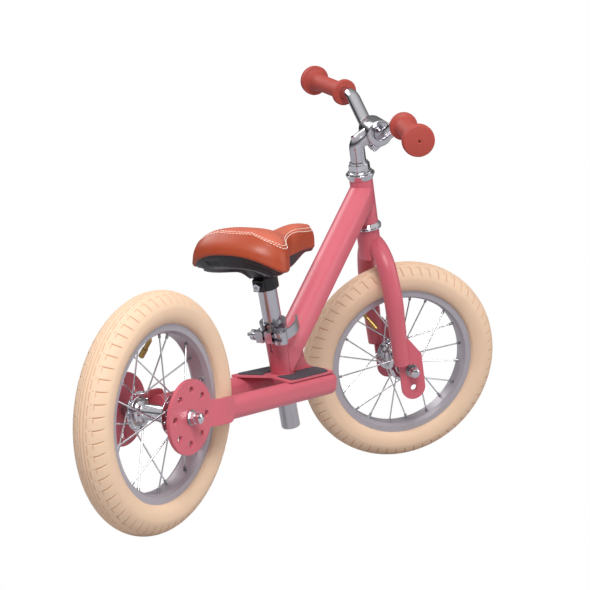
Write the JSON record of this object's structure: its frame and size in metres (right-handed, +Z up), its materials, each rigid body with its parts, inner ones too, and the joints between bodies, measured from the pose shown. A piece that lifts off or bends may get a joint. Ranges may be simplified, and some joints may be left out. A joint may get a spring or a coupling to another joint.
{
  "type": "balance bike",
  "caption": "Child's balance bike: low U-shaped base with a foot deck, single down tube, spoked wheels, turning fork and handlebar, and a height-adjustable padded saddle.",
  "frame": {"origin": "point where the rear tyre meets the ground, on the bike's middle plane, directly under the rear axle", "axes": "+X forward along the bike, +Y to the rider's left, +Z up; the steering is stored turned 41 degrees to the right"},
  "size_m": [0.8768, 0.3454, 0.5788],
  "materials": {
    "paint": "satin powder coat",
    "grip_tape": "gritty anti-slip sheet",
    "chrome": "bright plated",
    "steel": "zinc plated",
    "aluminium": "polished",
    "grip_rubber": "matt",
    "tyre": "matt natural rubber",
    "inner_tube": "matt",
    "rim": "satin anodised",
    "brass": "plain",
    "base_plastic": "moulded",
    "clamp_paint": "gloss",
    "leather": "smooth with light stitching"
  },
  "bodies": {
    "frame": {"head_tube": "paint", "down_tube": "paint", "seat_tube": "paint", "base_rail": "paint", "deck_plate": "paint", "dropout_plates": "paint", "foot_pads": "grip_tape", "upper_cup": "chrome", "lower_cup": "chrome", "seat_collar": "aluminium", "release_skewer": "steel", "release_nut": "chrome", "rear_axle": "steel", "rear_cones": "steel", "rear_locknuts": "steel", "rear_washers": "steel", "rear_axle_nuts": "chrome"},
    "fork": {"fork_steerer": "paint", "fork_leg_left": "paint", "fork_leg_right": "paint", "fork_dropouts": "paint", "crown_race": "chrome", "adjusting_race": "chrome", "headset_washer": "chrome", "headset_locknut": "chrome", "headset_balls": "steel", "stem": "aluminium", "stem_bolt": "chrome", "stem_wedge": "steel", "bar_clamp_bolt": "chrome", "handlebar": "chrome", "left_grip": "grip_rubber", "right_grip": "grip_rubber", "front_axle": "steel", "front_cones": "steel", "front_locknuts": "steel", "front_washers": "steel", "front_axle_nuts": "chrome"},
    "front_wheel": {"front_tyre": "tyre", "front_inner_tube": "inner_tube", "front_rim": "rim", "front_spokes": "chrome", "front_nipples": "steel", "front_hub": "chrome", "front_valve": "brass", "front_hub_balls": "steel"},
    "rear_wheel": {"rear_tyre": "tyre", "rear_inner_tube": "inner_tube", "rear_rim": "rim", "rear_spokes": "chrome", "rear_nipples": "steel", "rear_hub": "chrome", "rear_valve": "brass", "rear_hub_balls": "steel"},
    "seat": {"seat_post": "aluminium", "saddle_base": "base_plastic", "saddle_cushion": "leather", "saddle_clamp": "clamp_paint", "saddle_clamp_bolt": "chrome"},
    "release_lever": {"release_lever": "aluminium"}
  },
  "joints": [
    {"name": "steering", "type": "hinge", "parent": "frame", "child": "fork", "pos_m": [0.58896, 0, 0.14281], "axis": [-0.2924, 0, 0.9563], "range_deg": [-49, 131]},
    {"name": "front_wheel_spin", "type": "hinge", "parent": "fork", "child": "front_wheel", "pos_m": [0.60484, -0.01443, 0.14766], "axis": [0.6274, 0.7547, 0.1918], "continuous": true},
    {"name": "rear_wheel_spin", "type": "hinge", "parent": "frame", "child": "rear_wheel", "pos_m": [0, 0, 0.15], "axis": [0, 1, 0], "continuous": true},
    {"name": "saddle_height", "type": "slide", "parent": "frame", "child": "seat", "axis": [-0.3256, 0, 0.9455], "range_m": [-0.03, 0.07]},
    {"name": "release_swing", "type": "hinge", "parent": "frame", "child": "release_lever", "pos_m": [0.253, -0.0225, 0.21796], "axis": [0.3256, 0, -0.9455], "range_deg": [0, 105]}
  ]
}
